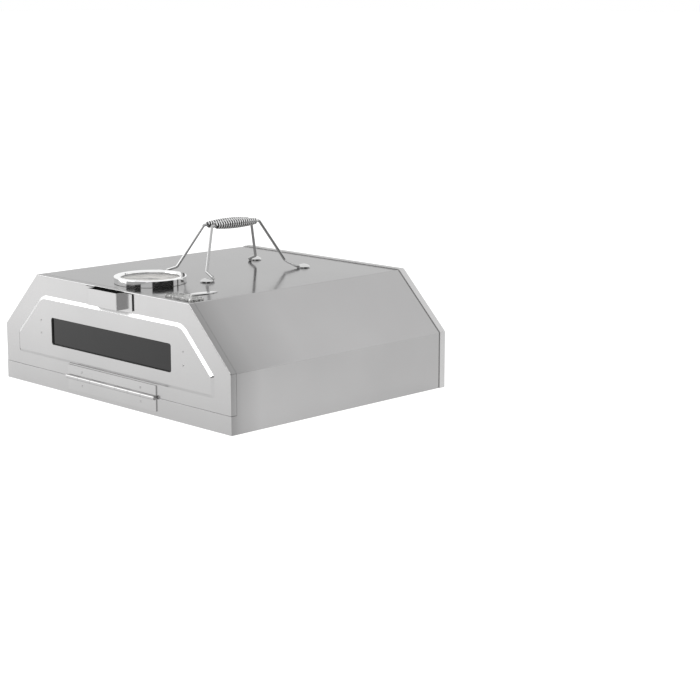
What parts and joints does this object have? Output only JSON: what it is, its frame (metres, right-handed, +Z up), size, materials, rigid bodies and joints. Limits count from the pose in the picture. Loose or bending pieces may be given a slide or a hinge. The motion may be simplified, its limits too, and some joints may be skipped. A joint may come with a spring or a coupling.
{
  "type": "grill-top pizza oven",
  "caption": "Low steel pizza oven hood with sloped shoulders, a drop-down windowed door, a dial thermometer and a wire handle with coil grips.",
  "frame": {"origin": "middle of the whole object's length and width, on its underside", "axes": "+X across the oven to the user's left-to-right when facing the door from the front (the right-hand side), the door faces -Y, +Z is up"},
  "size_m": [0.4324, 0.361, 0.2055],
  "materials": {
    "hood_steel": "bright polished stainless sheet with a faint vertical grain",
    "panel_steel": "satin stainless sheet",
    "door_steel": "fine satin stainless sheet",
    "grip_steel": "fine satin stainless strap",
    "hinge_steel": "satin stainless, bright on the knuckles",
    "inner_steel": "mill finish stainless, slightly dull",
    "rivet_steel": "tumbled steel",
    "bezel_chrome": "mirror chrome",
    "wire_chrome": "bright chromed wire",
    "spring_chrome": "chromed spring wire, a little darker between the turns",
    "screw_chrome": "mirror chrome",
    "badge_chrome": "bright chrome with a fine pebbled field",
    "window_glass": "dark tinted heat-resistant glass",
    "pad_black": "matt black moulded heat-resistant plastic",
    "gasket": "matt black woven glass-fibre gasket",
    "dial_glass": "clear glass",
    "dial_face": "light warm grey satin dial",
    "pointer_paint": "satin black paint",
    "cordierite": "matt fired cordierite, slightly speckled"
  },
  "bodies": {
    "oven": {"outer_shell": "hood_steel", "rear_panel": "panel_steel", "front_frame": "panel_steel", "front_apron": "door_steel", "base_plate": "inner_steel", "stone_rail_right": "inner_steel", "stone_rail_left": "inner_steel", "rail_rivets": "rivet_steel", "pizza_stone": "cordierite", "heat_baffle": "inner_steel", "baffle_spacers": "inner_steel", "hinge_leaf_fixed": "hinge_steel", "hinge_pin": "hinge_steel", "hinge_rivets_fixed": "rivet_steel", "catch_clip": "inner_steel", "thermometer_case": "inner_steel", "thermometer_bezel": "bezel_chrome", "thermometer_lens": "dial_glass", "thermometer_dial": "dial_face", "thermometer_stem": "inner_steel", "thermometer_nut": "inner_steel", "handle_wire_right": "wire_chrome", "handle_wire_left": "wire_chrome", "coil_grip_right": "spring_chrome", "coil_grip_left": "spring_chrome", "handle_screws": "screw_chrome", "handle_nuts": "inner_steel", "name_badge": "badge_chrome", "badge_leaf": "screw_chrome"},
    "door": {"door_panel": "door_steel", "window_gasket": "gasket", "window_glass": "window_glass", "glass_clip_right": "inner_steel", "glass_clip_left": "inner_steel", "glass_clip_rivets": "rivet_steel", "door_grip": "grip_steel", "grip_pad": "pad_black", "hinge_leaf_door": "hinge_steel", "hinge_rivets_door": "rivet_steel", "catch_stud": "inner_steel"},
    "pointer": {"thermometer_pointer": "pointer_paint"}
  },
  "joints": [
    {"name": "door_hinge", "type": "hinge", "parent": "oven", "child": "door", "pos_m": [0, -0.1723, 0.022], "axis": [1, 0, 0], "range_deg": [0, 90]},
    {"name": "pointer_turn", "type": "hinge", "parent": "oven", "child": "pointer", "pos_m": [0, -0.1075, 0.1436], "axis": [0, 0, 1], "range_deg": [-270, 0]}
  ]
}
